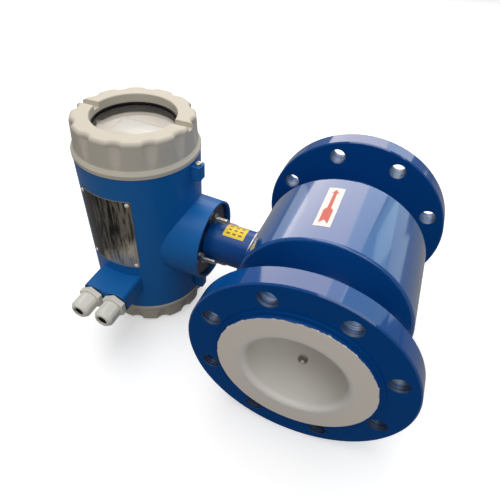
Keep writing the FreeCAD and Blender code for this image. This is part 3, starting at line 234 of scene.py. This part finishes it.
def flange_enamel():
    """Blue enamel that thins inside the bolt holes, where the drill's rings and some steel show."""
    finish = Finish("flange blue enamel", BLUE, 0.32, Specular_IOR_Level=0.03, Coat_Roughness=0.07, Coat_IOR=1.75)
    where, x, y, z = finish.place()
    radius, angle = cylinder_coordinates(x, z)
    sector = math.tau / HOLES
    offset = (angle + sector / 2).maths("PINGPONG", sector / 2)
    # the holes sit half a step round from the X axis, so the folded angle is 0 at their middle
    from_hole = (radius * radius + BOLT_R ** 2 - 2 * BOLT_R * radius * offset.maths("COSINE")).maths("SQRT")
    in_hole = from_hole.below(HOLE_R + 0.15 * MM, 0.2 * MM)
    patches = finish.noise(finish.stretched(where, 1, 0.3, 1), 150, 2)
    bare = in_hole * patches.above(0.34, 0.2)
    rings = finish.noise(finish.stretched(where, 6, 620, 6), 1.0, 2)
    finish.set("Base Color", finish.mix(bare * (0.25 + 0.75 * rings.above(0.48, 0.12)), BLUE, DRILLED_STEEL))
    finish.set("Metallic", bare * 0.7)
    finish.set("Roughness", 0.32 + bare * 0.1)
    rim = radius.above(FLANGE_R - 1.2 * MM, 0.8 * MM)
    finish.set("Coat Weight", rim)
    turned = finish.noise(finish.stretched(where, 250, 12, 250), 1.0, 2)
    dents = finish.noise(where, 38, 2)
    height = dents * 0.6 + turned * 0.16 * rim + rings * 1.6 * in_hole
    finish.bump(height, 0.25 * MM, 0.7)
    return finish.material


def housing_enamel():
    """The flanges' blue, painted a little lighter for the light on the shell, in a thicker, glossier coat that
    waves a little along the rolled shell.
    """
    finish = Finish("housing blue enamel", LIT_HOUSING_BLUE, 0.22, Specular_IOR_Level=0.5, Coat_Weight=1.0,
                    Coat_Roughness=0.06, Coat_IOR=1.55)
    where = finish.where()
    wave = finish.noise(finish.stretched(where, 1, 0.25, 1), 34, 2)
    streaks = finish.noise(finish.stretched(where, 1, 0.05, 1), 210, 2)
    finish.bump(wave * 0.9 + streaks * 0.1, 0.9 * MM, 0.8)
    return finish.material


def neck_enamel():
    finish = Finish("neck blue enamel", BLUE, 0.28, Specular_IOR_Level=0.35)
    finish.bump(finish.noise(finish.where(), 260, 3), 0.15 * MM, 0.5)
    return finish.material


def casting_enamel():
    """Satin blue over a casting, painted lighter than the flanges' blue to stand in for the light it gets."""
    finish = Finish("casting blue enamel", colour(20, 108, 182), 0.36, Specular_IOR_Level=0.3)
    where = finish.where()
    grain = finish.noise(where, 520, 3)
    swell = finish.noise(where, 45, 2)
    finish.bump(grain * 0.12 + swell * 0.5, 0.35 * MM, 0.6)
    return finish.material


def cover_enamel(name, end_z):
    """Warm light grey over a casting; the thread skirt inside stays bare."""
    base = colour(213, 205, 190)
    finish = Finish(name, base, 0.5, Specular_IOR_Level=0.2)
    where, x, y, z = finish.place()
    grain = finish.noise(where, 600, 3)
    swell = finish.noise(where, 60, 2)
    outside = (z - end_z) if end_z > 0 else (end_z - z)
    skirt = outside.below(-0.1 * MM)
    thread = z.repeat(COVER_THREAD) / MM
    finish.set("Base Color", finish.mix(skirt, base, colour(176, 173, 166)))
    finish.set("Metallic", skirt * 0.8)
    finish.bump(grain * 0.14 + swell * 0.4 + thread * skirt, 0.35 * MM, 0.7)
    return finish.material


def liner_plastic():
    """Smooth white fluoropolymer, with the enamel's ragged edge on its rim."""
    # the bore gets a slightly darker, cooler white than the face: painted shade inside the bore
    face, bore = colour(254, 244, 233), colour(243, 240, 234)
    finish = Finish("white liner", face, 0.38, Specular_IOR_Level=0.35)
    where, x, y, z = finish.place()
    radius, angle = cylinder_coordinates(x, z)
    ragged = finish.noise(where, 160, 3)
    painted = (radius + ragged * (2.4 * MM)).above(LINER_RIM_R, 0.25 * MM)
    outside = radius.above(BORE_R + 3 * MM, 8 * MM)
    finish.set("Base Color", finish.mix(painted, finish.mix(outside, bore, face), BLUE))
    turned = finish.noise(finish.stretched(where, 30, 200, 30), 1.0, 2)
    finish.bump(turned, 0.08 * MM, 0.5)
    return finish.material


def bare_metal(name, base, roughness):
    finish = Finish(name, base, roughness, 1.0)
    cloud = finish.noise(finish.where(), 500, 3)
    finish.set("Roughness", (roughness - 0.08) + 0.16 * cloud)
    finish.bump(cloud, 0.05 * MM, 0.4)
    return finish.material


def plate_steel():
    """Dark brushed plate with painted reflections: light streaks up and down and a painted sheen brighter towards
    its lower right, with an etched frame.
    """
    # dark is the plate's own tone; light is the colour of its painted reflections
    dark, light = colour(17, 16, 15), colour(206, 194, 174)
    etching, bright_edge = colour(20, 19, 18), colour(168, 164, 156)
    finish = Finish("nameplate steel", dark, 0.3, 0.6)
    where, x, y, z = finish.place()
    across = (x - AXIS_X).maths("ARCTAN2", MID_Y - y) * PLATE_R
    low, high = plate_low.z, plate_high.z
    middle = math.radians((PLATE_LEFT + PLATE_RIGHT) / 2) * PLATE_R
    half = math.radians((PLATE_RIGHT - PLATE_LEFT) / 2) * PLATE_R
    sway = finish.noise(finish.stretched(where, 1, 1, 0.5), 60, 2)
    # these streaks are brushing in roughness and bump, and painted reflection streaks in the colour
    brushing_and_reflected_streaks = finish.noise(finish.stretched(where, 1, 1, 0.11), 320, 3, 0.6).above(0.5, 0.17)
    rightward, upward = (across - middle) / half, (z - low) / (high - low)
    # painted reflection: a light sheen towards the right and a brighter lower right corner, mixed into the base
    # colour
    reflected_sheen = (rightward * 0.6 + sway * 0.7).above(0.5, 1.1)
    reflected_corner = (rightward * 0.6 - upward * 1.6 + sway).above(0.4, 0.5)
    bright = reflected_sheen * 0.32 + reflected_corner * 1.05 + (brushing_and_reflected_streaks - 0.5) * (0.16 + 0.34 * reflected_sheen + 0.5 * reflected_corner)
    base = finish.mix(bright, dark, light)
    offset = abs(across - middle)
    from_edge = (half - offset).maths("MINIMUM", z - low).maths("MINIMUM", high - z)
    edge = from_edge.below(0.7 * MM, 0.3 * MM)
    outline = from_edge.within(2.4 * MM, 2.8 * MM, 0.2 * MM)
    row = z.repeat(9.4 * MM).below(0.2 * MM, 0.2 * MM)
    fields = row * offset.below(half - 9 * MM) * (z - low).within(9 * MM, high - low - 22 * MM)
    etched = outline.maths("MAXIMUM", fields) * 0.45
    finish.set("Base Color", finish.mix(edge, finish.mix(etched, base, etching), bright_edge))
    finish.set("Roughness", 0.24 + 0.12 * brushing_and_reflected_streaks + 0.3 * etched)
    finish.bump(brushing_and_reflected_streaks * 0.3 + bright * 0.2 - etched * 0.5, 0.06 * MM, 0.6)
    return finish.material


def moulded(name, base, roughness, grain=700, depth=0.05):
    """A plain finish with a fine grain, as deep as given in millimetres."""
    finish = Finish(name, base, roughness)
    finish.bump(finish.noise(finish.where(), grain, 3), depth * MM, 0.6)
    return finish.material


def circuit_laminate():
    base = colour(18, 84, 52)
    finish = Finish("green laminate", base, 0.35)
    where, x, y, z = finish.place()
    tracks = (x.repeat(3.1 * MM).below(0.35 * MM, 0.1 * MM)
              * finish.noise(finish.stretched(where, 60, 12, 60), 1.0, 1).above(0.5, 0.02))
    finish.set("Base Color", finish.mix(tracks * 0.5, base, colour(46, 128, 82)))
    return finish.material


enamel_flange = flange_enamel()
enamel_housing = housing_enamel()
enamel_neck = neck_enamel()
enamel_casting = casting_enamel()
# the neck plate's blue, darkened as painted shade for the recess inside the boss
enamel_painted_shade = moulded("blue enamel darkened as painted shade", colour(5, 22, 48), 0.3, 260, 0.1)
enamel_front = cover_enamel("front cover enamel", lip_low.z + SKIRT)
enamel_rear = cover_enamel("rear cover enamel", rear_high.z - SKIRT)
liner_white = liner_plastic()
stainless = bare_metal("bare stainless", colour(178, 174, 166), 0.32)
zinc = bare_metal("zinc plated steel", colour(196, 194, 188), 0.28)
soft_iron = bare_metal("soft iron", colour(92, 90, 88), 0.5)
copper_wire = bare_metal("enamelled copper", colour(156, 92, 52), 0.35)
plate_finish = plate_steel()
# zinc rivets drawn as a near-white non-metal: painted highlight standing in for their glints
rivet_painted_glint = moulded("bright rivet", colour(250, 248, 244), 0.3, 500, 0.02)
black_rubber = moulded("black rubber", colour(22, 22, 23), 0.6)
light_nylon = moulded("light nylon", colour(243, 240, 229), 0.4, 900, 0.04)
black_plastic = moulded("black plastic", colour(26, 26, 27), 0.42)
charcoal_ring = moulded("charcoal plastic", colour(56, 57, 60), 0.45)
pale_panel = moulded("pale display face", colour(152, 145, 134), 0.45, 300, 0.03)
pale_screen = moulded("unlit screen", colour(164, 165, 162), 0.2, 300, 0.01)
laminate = circuit_laminate()
terminal_plastic = moulded("terminal green", colour(44, 122, 72), 0.4)
ivory_plastic = moulded("ivory insulator", colour(224, 216, 200), 0.45)
pane = Finish("window glass", colour(252, 252, 250), 0.02, IOR=1.35, Transmission_Weight=1.0).material
sticker_white = moulded("sticker white", colour(236, 234, 231), 0.3, 400, 0.01)
sticker_red = moulded("sticker red", colour(212, 80, 66), 0.35, 400, 0.01)
sticker_yellow = moulded("sticker yellow", colour(252, 216, 24), 0.35, 400, 0.01)
print_dark = moulded("sticker print", colour(146, 115, 30), 0.5, 400, 0.01)

NODE_FINISHES = {
    enamel_flange: ["inlet_flange", "outlet_flange"],
    enamel_housing: ["housing_shell", "inlet_end_plate", "outlet_end_plate", "measuring_tube"],
    enamel_neck: ["neck_tube"],
    enamel_painted_shade: ["neck_plate"],
    enamel_casting: ["converter_body"],
    enamel_front: ["front_cover"],
    enamel_rear: ["rear_cover"],
    liner_white: ["tube_liner"],
    stainless: ["measuring_electrodes", "grounding_electrode", "electrode_nuts", "neck_collar"],
    zinc: ["neck_studs", "neck_washers", "neck_nuts", "front_lock_screw", "rear_lock_screw",
           "stack_screws", "terminal_screws"],
    soft_iron: ["neck_side_pole", "far_side_pole", "flux_return_ring"],
    copper_wire: ["neck_side_coil", "far_side_coil"],
    plate_finish: ["nameplate"],
    rivet_painted_glint: ["nameplate_rivets"],
    black_rubber: ["neck_gasket", "front_cover_seal", "rear_cover_seal", "window_gasket", "gland_washers",
                   "gland_seal_left", "gland_seal_right", "lead_grommet"],
    light_nylon: ["gland_bodies", "gland_nut_left", "gland_nut_right"],
    charcoal_ring: ["window_ring"],
    black_plastic: ["display_housing", "display_posts", "tray_brackets", "board_spacers", "main_board_parts",
                    "power_module", "terminal_legs"],
    pale_panel: ["display_panel"],
    pale_screen: ["lcd_module"],
    laminate: ["display_board", "main_board", "power_board", "terminal_board"],
    terminal_plastic: ["terminal_blocks"],
    ivory_plastic: ["electrode_insulators"],
    pane: ["window_glass"],
}
for finish, nodes in NODE_FINISHES.items():
    for node in nodes:
        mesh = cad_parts[node].data
        mesh.materials.clear()
        mesh.materials.append(finish)


# ---------------------------------------------------------------- building pieces
def piece(name, mesh, finish, body="meter"):
    """A finished bmesh as an object that rides on a body, with sharp edges kept sharp."""
    bmesh.ops.remove_doubles(mesh, verts=mesh.verts, dist=1e-7)
    bmesh.ops.recalc_face_normals(mesh, faces=mesh.faces)
    for face in mesh.faces:
        face.smooth = True
    for edge in mesh.edges:
        if len(edge.link_faces) == 2 and edge.calc_face_angle(0) > math.radians(35):
            edge.smooth = False
    data = bpy.data.meshes.new(name)
    mesh.to_mesh(data)
    mesh.free()
    data.materials.append(finish)
    made = bpy.data.objects.new(name, data)
    bpy.context.scene.collection.objects.link(made)
    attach(made, body)
    return made


def sheet(outline, thickness, step=1.5 * MM):
    """A flat label lying in the XY plane, cut across every step so that it can be bent about Y."""
    mesh = bmesh.new()
    mesh.faces.new([mesh.verts.new((x, y, 0)) for x, y in outline])
    reach = max(abs(x) for x, y in outline)
    cut = -reach + step
    while cut < reach:
        bmesh.ops.bisect_plane(mesh, geom=mesh.verts[:] + mesh.edges[:] + mesh.faces[:], plane_co=(cut, 0, 0),
                               plane_no=(1, 0, 0))
        cut += step
    bmesh.ops.recalc_face_normals(mesh, faces=mesh.faces)
    if mesh.faces[:][0].normal.z < 0:
        bmesh.ops.reverse_faces(mesh, faces=mesh.faces)
    lifted = bmesh.ops.extrude_face_region(mesh, geom=mesh.faces[:])
    top = [v for v in lifted["geom"] if isinstance(v, bmesh.types.BMVert)]
    bmesh.ops.translate(mesh, verts=top, vec=(0, 0, thickness))
    return mesh


def wrap(mesh, radius, base, axis, facing, degrees):
    """Bends a sheet about Y onto a cylinder, its Y along the axis and its middle turned from the facing way."""
    side = axis.cross(facing)
    for vert in mesh.verts:
        angle = vert.co.x / radius + math.radians(degrees)
        out = radius + vert.co.z
        vert.co = base + axis * vert.co.y + facing * (out * math.cos(angle)) + side * (out * math.sin(angle))
    return mesh


def box_outline(width, height, x=0.0, y=0.0):
    return [(x - width / 2, y - height / 2), (x + width / 2, y - height / 2), (x + width / 2, y + height / 2),
            (x - width / 2, y + height / 2)]


def flow_arrow_sticker():
    """A white strip on the coil housing with a red arrow that points the way of the flow."""
    base = Vector((0, MID_Y + 0.6 * MM, 0))
    tilt = 11.1
    strip = sheet(box_outline(16.6 * MM, 66 * MM), 0.12 * MM)
    wrap(strip, HOUSING_R + LABEL_LIFT, base, ALONG_Y, ALONG_Z, -tilt)
    piece("flow_arrow_strip", strip, sticker_white)
    half = [(0, 29.5), (3.9, 22.5), (1.7, 23.4), (1.9, -2.5), (4.6, -6.5), (4.3, -28), (0, -22.5)]
    shape = [(x * MM, y * MM) for x, y in half] + [(-x * MM, y * MM) for x, y in half[-2:0:-1]]
    arrow = wrap(sheet(shape, 0.06 * MM), HOUSING_R + PRINT_LIFT, base, ALONG_Y, ALONG_Z, -tilt)
    piece("flow_arrow", arrow, sticker_red)


def neck_label():
    """A bare yellow label on the neck, with rows of plain bars."""
    base = Vector((-113.5 * MM, MID_Y, 0))
    step, tilt = 1.2 * MM, -1
    label = sheet(box_outline(21.4 * MM, 25 * MM), 0.12 * MM, step)
    wrap(label, NECK_R + LABEL_LIFT, base, ALONG_X, ALONG_Z, tilt)
    piece("neck_label", label, sticker_yellow)
    for row in (-1, 0, 1):
        for column in (-1, 0, 1):
            bar = sheet(box_outline(2.6 * MM, 4.2 * MM, row * 6 * MM, column * 7 * MM), 0.04 * MM, step)
            wrap(bar, NECK_R + PRINT_LIFT, base, ALONG_X, ALONG_Z, tilt)
            piece(f"neck_label_bar_{row + 2}{column + 2}", bar, print_dark)


def threaded_rod(start, length, radius, pitch):
    """A rod along X with a rolled thread: a core, and a ridge spun round it that climbs one pitch a turn."""
    mesh = bmesh.new()
    core = bmesh.ops.create_circle(mesh, cap_ends=True, segments=20, radius=radius * 0.86)
    bmesh.ops.rotate(mesh, verts=core["verts"], cent=(0, 0, 0), matrix=Matrix.Rotation(math.pi / 2, 3, "Y"))
    lifted = bmesh.ops.extrude_face_region(mesh, geom=mesh.faces[:])
    tip = [v for v in lifted["geom"] if isinstance(v, bmesh.types.BMVert)]
    bmesh.ops.translate(mesh, verts=tip, vec=(length, 0, 0))
    steps = 16
    turns = int((length - 2 * pitch) / pitch)
    ridge = ((0.1 * pitch, radius * 0.84), (0.5 * pitch, radius * 0.995), (0.9 * pitch, radius * 0.84))
    a, b, c = (mesh.verts.new((along, 0, out)) for along, out in ridge)
    profile = [a, b, c, mesh.edges.new((a, b)), mesh.edges.new((b, c)), mesh.edges.new((c, a))]
    bmesh.ops.spin(mesh, geom=profile, cent=(0, 0, 0), axis=(1, 0, 0), dvec=(pitch / steps, 0, 0),
                   angle=math.tau * turns, steps=steps * turns, use_merge=False, use_duplicate=False)
    bmesh.ops.holes_fill(mesh, edges=[e for e in mesh.edges if e.is_boundary], sides=3)
    bmesh.ops.translate(mesh, verts=mesh.verts, vec=start)
    return mesh


def neck_studs():
    """The four studs between neck and converter, with real threads."""
    length = stud_high.x - stud_low.x
    for number in range(STUDS):
        angle = math.tau * number / STUDS
        start = Vector((stud_low.x, MID_Y + STUD_CIRCLE_R * math.cos(angle), STUD_CIRCLE_R * math.sin(angle)))
        rod = piece(f"neck_stud_{number + 1}", threaded_rod(start, length, STUD_R, 1 * MM), zinc)
        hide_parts("neck_studs")


def grip_radius(z, height, top, off_notch):
    """The grip's outside, a given height over the lip and a given angle off the middle of a notch."""
    lobe = LOBE_FOOT_R - LOBE_TAPER * (z - LIP_EDGE) / (height - LIP_EDGE)
    left = max(1 - (z - GRIP_FOOT) / (top - GRIP_FOOT), 0)
    centre = NOTCH_FLOOR_R + NOTCH_RISE * left ** 1.2 + NOTCH_R
    across = centre * math.sin(off_notch)
    if abs(across) >= NOTCH_R:
        return lobe
    notch = centre * math.cos(off_notch) - math.sqrt(NOTCH_R ** 2 - across ** 2)
    soft = max(NOTCH_SOFT - abs(lobe - notch), 0) / NOTCH_SOFT
    return min(lobe, notch) - soft ** 2 * NOTCH_SOFT / 4


def notch_run_out(name, lip_z, way, height, first_notch, finish, body):
    """A skin over the foot of a cover's grip, where the notches between its lobes grow shallow and run out."""
    top = height - SKIN_STOP
    heights = [SKIN_START] + [GRIP_FOOT + (top - GRIP_FOOT) * row / SKIN_ROWS for row in range(SKIN_ROWS + 1)]
    profile = [(SKIN_START_R, z) for z in heights] + [(SKIN_INNER_R, top), (SKIN_INNER_R, SKIN_START)]
    mesh = bmesh.new()
    verts = [mesh.verts.new((radius, 0, z)) for radius, z in profile]
    edges = [mesh.edges.new((a, b)) for a, b in zip(verts, verts[1:] + verts[:1])]
    bmesh.ops.spin(mesh, geom=verts + edges, cent=(0, 0, 0), axis=(0, 0, 1), dvec=(0, 0, 0), angle=math.tau,
                   steps=SKIN_COLUMNS, use_merge=True, use_duplicate=False)
    pitch = math.tau / NOTCHES
    near = 0.01
    for vert in mesh.verts:
        radius, angle, z = math.hypot(vert.co.x, vert.co.y), math.atan2(vert.co.y, vert.co.x), vert.co.z
        if radius > SKIN_START_R - 1 and z > GRIP_FOOT - near:
            off_notch = (angle - math.radians(first_notch) + pitch / 2) % pitch - pitch / 2
            radius = grip_radius(z, height, top, off_notch)
            if z > top - near:
                radius -= SKIN_TUCK
        out = radius * MM
        vert.co = Vector((AXIS_X + out * math.cos(angle), MID_Y + out * math.sin(angle), lip_z + way * z * MM))
    piece(name, mesh, finish, body)


flow_arrow_sticker()
neck_label()
neck_studs()
notch_run_out("front_cover_grip_foot", FRONT_LIP_Z, 1, FRONT_COVER_H, FRONT_NOTCH, enamel_front, "front_cover")
notch_run_out("rear_cover_grip_foot", REAR_LIP_Z, -1, REAR_COVER_H, REAR_NOTCH, enamel_rear, "rear_cover")


# ---------------------------------------------------------------- floor, lamps and camera
WHITE = (1, 1, 1, 1)
FLOOR_LEAN = 0.0613         # the rear cover reaches lower than the flanges, so the meter lies a little tilted
FLOOR_GAP = 0.2 * MM
FLOOR_HALF_SIZE = 4.0
FLOOR_SEEN, FLOOR_LIT = 0.9, 0.17      # its shade to look at, and in the light it gives back
FLOOR_GLOW = 0.42
REFLECTED_FLOOR = 0.1       # the share of the white floor that shows in reflections
SKY_LIGHT = 0.22            # strength of the even light on everything
REFLECTED_SKY = 0.2         # and its strength in reflections
LENS, SENSOR = 31.88, 36.0
CAMERA_PLACE = (0.0224, -0.2200, 0.3493)
CAMERA_RIGHT = (0.9267, 0.3711, 0.0589)
CAMERA_UP = (-0.2952, 0.6221, 0.7251)
CAMERA_BACK = (0.2324, -0.6894, 0.6861)


def floor():
    """A floor under both flanges and the rear cover: white to look at, darker in the light it gives back."""
    up = Vector((-FLOOR_LEAN, 0, math.sqrt(1 - FLOOR_LEAN ** 2)))
    middle_x = -0.1
    drop = FLANGE_R - middle_x * FLOOR_LEAN + FLOOR_GAP
    mesh = bmesh.new()
    bmesh.ops.create_grid(mesh, x_segments=1, y_segments=1, size=FLOOR_HALF_SIZE)
    bmesh.ops.rotate(mesh, verts=mesh.verts, cent=(0, 0, 0), matrix=ALONG_Z.rotation_difference(up).to_matrix())
    bmesh.ops.translate(mesh, verts=mesh.verts, vec=Vector((middle_x, MID_Y, 0)) - up * drop)
    data = bpy.data.meshes.new("floor")
    mesh.to_mesh(data)
    mesh.free()
    made = bpy.data.objects.new("floor", data)
    bpy.context.scene.collection.objects.link(made)
    finish = Finish("pale floor", (FLOOR_LIT, FLOOR_LIT, FLOOR_LIT, 1), 0.9, Specular_IOR_Level=0.0)
    lit = Value(finish, finish.shader.outputs[0])
    seen = finish.node("ShaderNodeBsdfPrincipled", {}, {
        "Base Color": (FLOOR_SEEN, FLOOR_SEEN, FLOOR_SEEN, 1), "Roughness": 0.9, "Specular IOR Level": 0.0,
        "Emission Color": WHITE, "Emission Strength": FLOOR_GLOW})
    looked_at, mirrored, through = finish.rays("Camera", "Glossy", "Transmission")
    shown = looked_at.maths("MAXIMUM", mirrored * REFLECTED_FLOOR).maths("MAXIMUM", through)
    both = finish.node("ShaderNodeMixShader", {}, {0: shown, 1: lit, 2: seen})
    finish.feed(finish.output.inputs["Surface"], both)
    data.materials.append(finish.material)


def surroundings():
    """Even soft light from all round; white where the camera or glass shows it, and pale in reflections."""
    world = bpy.data.worlds.new("studio")
    bpy.context.scene.world = world
    world.use_nodes = True
    nodes = Nodes(world.node_tree)
    background = world.node_tree.nodes["Background"]
    nodes.feed(background.inputs["Color"], WHITE)
    looked_at, mirrored, through = nodes.rays("Camera", "Glossy", "Transmission")
    given = mirrored * REFLECTED_SKY + (1 - mirrored) * SKY_LIGHT
    nodes.feed(background.inputs["Strength"], looked_at.maths("MAXIMUM", through).maths("MAXIMUM", given))


def softbox(name, place, aim, width, height, power, tint):
    """A plain rectangular lamp at a place, facing another."""
    light = bpy.data.lights.new(name, "AREA")
    light.color = tint
    light.shape = "RECTANGLE"
    light.size, light.size_y = width, height
    light.energy = power
    made = bpy.data.objects.new(name, light)
    made.location = place
    made.rotation_euler = (Vector(aim) - Vector(place)).to_track_quat("-Z", "Y").to_euler()
    bpy.context.scene.collection.objects.link(made)


def camera():
    """A camera above the inlet side, a little to the right of the bore, with a moderately wide lens."""
    data = bpy.data.cameras.new("camera")
    data.sensor_width = SENSOR
    data.lens = LENS
    data.clip_start, data.clip_end = 0.01, 50
    made = bpy.data.objects.new("camera", data)
    turn = Matrix((CAMERA_RIGHT, CAMERA_UP, CAMERA_BACK)).transposed()
    made.matrix_world = Matrix.Translation(CAMERA_PLACE) @ turn.to_4x4()
    bpy.context.scene.collection.objects.link(made)
    bpy.context.scene.camera = made


BEYOND = 2.1                # the windows stand this far off on the outlet side
METER = (0, 0.1, 0.1)
METER_MIDDLE = (-0.1, 0.1, 0)
LAMPS = [
    # name, place, facing, width, height, watts, tint
    ("window", (-0.95, BEYOND, 1.55), (-0.95, 0, 1.55), 2.42, 2.1, 41, (1, 0.9, 0.82)),
    ("window end", (0.565, BEYOND, 1.55), (0.565, 0, 1.55), 0.61, 2.1, 6.5, (0.88, 0.95, 1)),
    ("sky", (1.32, 1.86, 1.5), METER, 1.0, 1.7, 4.2, (0.6, 0.93, 1)),
    ("narrow window", (1.31, 2.08, 0.73), METER, 0.38, 1.05, 1.1, (0.8, 0.94, 1)),
    ("far window", (1.72, 1.9, 0.3), METER, 0.5, 0.8, 1.2, (0.8, 0.94, 1)),
    ("low window", (-1.75, 2.08, 0.35), METER, 0.55, 0.8, 1.0, (0.9, 0.96, 1)),
    ("overhead", (-0.4, 0.0, 2.0), METER_MIDDLE, 2.4, 1.4, 24, (1, 1, 1)),
    ("camera side", (0.75, -1.55, 1.5), METER_MIDDLE, 1.6, 1.4, 10, (1, 1, 1)),
]

floor()
surroundings()
for lamp in LAMPS:
    softbox(*lamp)
camera()
bpy.context.scene.view_settings.view_transform = "Standard"
